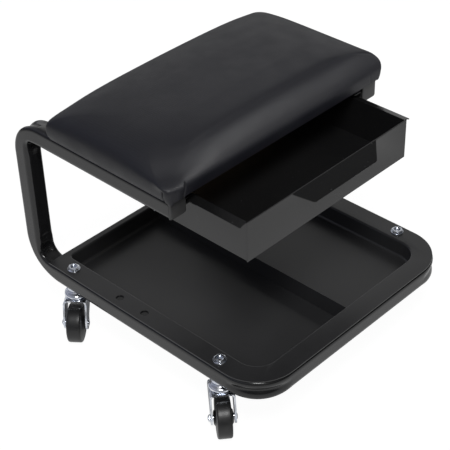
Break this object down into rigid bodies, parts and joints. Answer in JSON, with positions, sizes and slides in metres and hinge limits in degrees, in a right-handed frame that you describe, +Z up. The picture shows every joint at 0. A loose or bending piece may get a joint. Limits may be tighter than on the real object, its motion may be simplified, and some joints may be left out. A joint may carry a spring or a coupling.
{
  "type": "mechanic stool",
  "caption": "Low rolling workshop stool: bent square-tube frame on swivel casters, tool tray with a divider, padded seat and a shallow sliding drawer under it.",
  "frame": {"origin": "On the floor, under the middle of the stool's bounding box.", "axes": "+Z up; -Y is the front, the way the drawer opens; +X is the sitter's right, facing the back."},
  "size_m": [0.4006, 0.396, 0.3396],
  "materials": {
    "frame_paint": "semi-gloss dark grey powder coat",
    "tray_paint": "semi-gloss dark grey powder coat",
    "drawer_paint": "semi-gloss dark grey powder coat",
    "seat_vinyl": "black grained vinyl, satin",
    "seat_filling": "matte foam",
    "seat_wood": "raw plywood",
    "zinc": "bright zinc plate",
    "runner_zinc": "dull zinc plate",
    "cap_plastic": "satin black",
    "wheel_rubber": "satin black"
  },
  "bodies": {
    "frame": {"frame_tube": "frame_paint", "arm_cap_left": "cap_plastic", "arm_cap_right": "cap_plastic", "tray": "tray_paint", "tray_divider": "tray_paint", "seat_board": "seat_wood", "seat_foam": "seat_filling", "seat_cover": "seat_vinyl", "seat_bolts": "zinc", "seat_tee_nuts": "zinc", "seat_staples": "zinc", "runner_left": "runner_zinc", "runner_right": "runner_zinc", "runner_rivets": "runner_zinc", "caster_lock_nuts": "zinc", "caster_washers": "zinc", "caster_stem_front_left": "zinc", "caster_stem_front_right": "zinc", "caster_stem_back_left": "zinc", "caster_stem_back_right": "zinc"},
    "drawer": {"drawer_box": "drawer_paint", "drawer_front": "drawer_paint", "drawer_stops": "drawer_paint"},
    "caster_front_left": {"caster_fork_front_left": "zinc", "caster_balls_front_left": "zinc", "axle_bolt_front_left": "zinc", "axle_nut_front_left": "zinc", "axle_sleeve_front_left": "zinc"},
    "wheel_front_left": {"wheel_front_left": "wheel_rubber"},
    "caster_front_right": {"caster_fork_front_right": "zinc", "caster_balls_front_right": "zinc", "axle_bolt_front_right": "zinc", "axle_nut_front_right": "zinc", "axle_sleeve_front_right": "zinc"},
    "wheel_front_right": {"wheel_front_right": "wheel_rubber"},
    "caster_back_left": {"caster_fork_back_left": "zinc", "caster_balls_back_left": "zinc", "axle_bolt_back_left": "zinc", "axle_nut_back_left": "zinc", "axle_sleeve_back_left": "zinc"},
    "wheel_back_left": {"wheel_back_left": "wheel_rubber"},
    "caster_back_right": {"caster_fork_back_right": "zinc", "caster_balls_back_right": "zinc", "axle_bolt_back_right": "zinc", "axle_nut_back_right": "zinc", "axle_sleeve_back_right": "zinc"},
    "wheel_back_right": {"wheel_back_right": "wheel_rubber"}
  },
  "joints": [
    {"name": "drawer_slide", "type": "slide", "parent": "frame", "child": "drawer", "axis": [0, -1, 0], "range_m": [-0.074, 0.046]},
    {"name": "swivel_front_left", "type": "hinge", "parent": "frame", "child": "caster_front_left", "pos_m": [-0.1625, -0.1255, 0.055], "axis": [0, 0, 1], "continuous": true},
    {"name": "spin_front_left", "type": "hinge", "parent": "caster_front_left", "child": "wheel_front_left", "pos_m": [-0.17407, -0.13929, 0.025], "axis": [-0.766, 0.6428, 0], "continuous": true},
    {"name": "swivel_front_right", "type": "hinge", "parent": "frame", "child": "caster_front_right", "pos_m": [0.1625, -0.1255, 0.055], "axis": [0, 0, 1], "continuous": true},
    {"name": "spin_front_right", "type": "hinge", "parent": "caster_front_right", "child": "wheel_front_right", "pos_m": [0.17407, -0.11171, 0.025], "axis": [0.766, -0.6428, 0], "continuous": true},
    {"name": "swivel_back_left", "type": "hinge", "parent": "frame", "child": "caster_back_left", "pos_m": [-0.1625, 0.1241, 0.055], "axis": [0, 0, 1], "continuous": true},
    {"name": "spin_back_left", "type": "hinge", "parent": "caster_back_left", "child": "wheel_back_left", "pos_m": [-0.17659, 0.11289, 0.025], "axis": [-0.6225, 0.7826, 0], "continuous": true},
    {"name": "swivel_back_right", "type": "hinge", "parent": "frame", "child": "caster_back_right", "pos_m": [0.1625, 0.1241, 0.055], "axis": [0, 0, 1], "continuous": true},
    {"name": "spin_back_right", "type": "hinge", "parent": "caster_back_right", "child": "wheel_back_right", "pos_m": [0.17659, 0.13531, 0.025], "axis": [0.6225, -0.7826, 0], "continuous": true}
  ]
}
